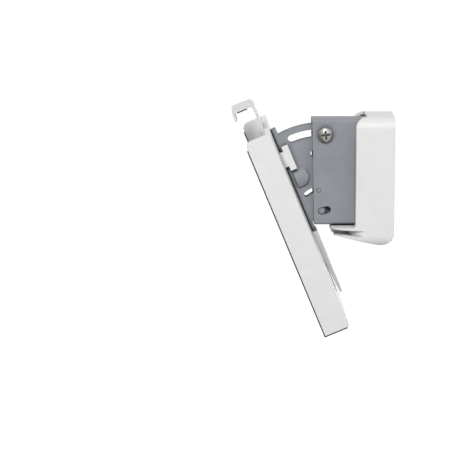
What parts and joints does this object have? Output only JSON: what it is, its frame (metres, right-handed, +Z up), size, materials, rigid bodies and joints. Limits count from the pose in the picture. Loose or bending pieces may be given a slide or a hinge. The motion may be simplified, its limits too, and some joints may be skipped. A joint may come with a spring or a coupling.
{
  "type": "speaker wall bracket",
  "caption": "Swivelling and tilting wall bracket for a small speaker: white wall cover with a cable toe, grey folded-steel sleeve and slotted channel, and a white tray with a top hook.",
  "frame": {"origin": "point on the wall plane, on the bracket's middle plane, at the level where the pieces' heights are counted from", "axes": "X across the bracket, -Y out from the wall into the room, +Z up"},
  "size_m": [0.11, 0.1342, 0.1883],
  "materials": {
    "white_moulding": "fine satin",
    "white_metal": "satin powder coat",
    "grey_steel": "fine powder coat",
    "plate_steel": "satin",
    "zinc_steel": "bright zinc",
    "nylon": "satin",
    "dark_nylon": "satin",
    "dark_rubber": "matte"
  },
  "bodies": {
    "wall_side": {"wall_plate": "plate_steel", "wall_cover": "white_moulding", "swivel_pin": "zinc_steel", "swivel_washer_upper": "nylon", "swivel_bolt": "zinc_steel", "swivel_spring_washer": "zinc_steel", "swivel_washer_lower": "nylon", "swivel_nut_washer": "zinc_steel", "swivel_nut": "zinc_steel"},
    "swivel_arm": {"swivel_bracket": "grey_steel", "tilt_pin": "grey_steel", "tilt_pin_clips": "zinc_steel", "tilt_pin_spacers": "dark_nylon", "stop_pin": "grey_steel", "clamp_screw": "zinc_steel", "clamp_washer": "zinc_steel", "clamp_spacers": "nylon", "clamp_tube": "zinc_steel", "clamp_nut_washer": "zinc_steel", "clamp_nut": "zinc_steel"},
    "tilt_head": {"tilt_bracket": "grey_steel", "speaker_holder": "white_moulding", "holder_screws": "zinc_steel", "top_hook": "white_metal", "hook_screws": "zinc_steel", "hook_pad": "dark_rubber", "side_pads": "dark_rubber"}
  },
  "joints": [
    {"name": "swivel", "type": "hinge", "parent": "wall_side", "child": "swivel_arm", "pos_m": [0, -0.022, 0], "axis": [0, 0, 1], "range_deg": [-18, 18]},
    {"name": "tilt", "type": "hinge", "parent": "swivel_arm", "child": "tilt_head", "pos_m": [0, -0.0595, -0.0253], "axis": [1, 0, 0], "range_deg": [-22.5, 2.5]}
  ]
}
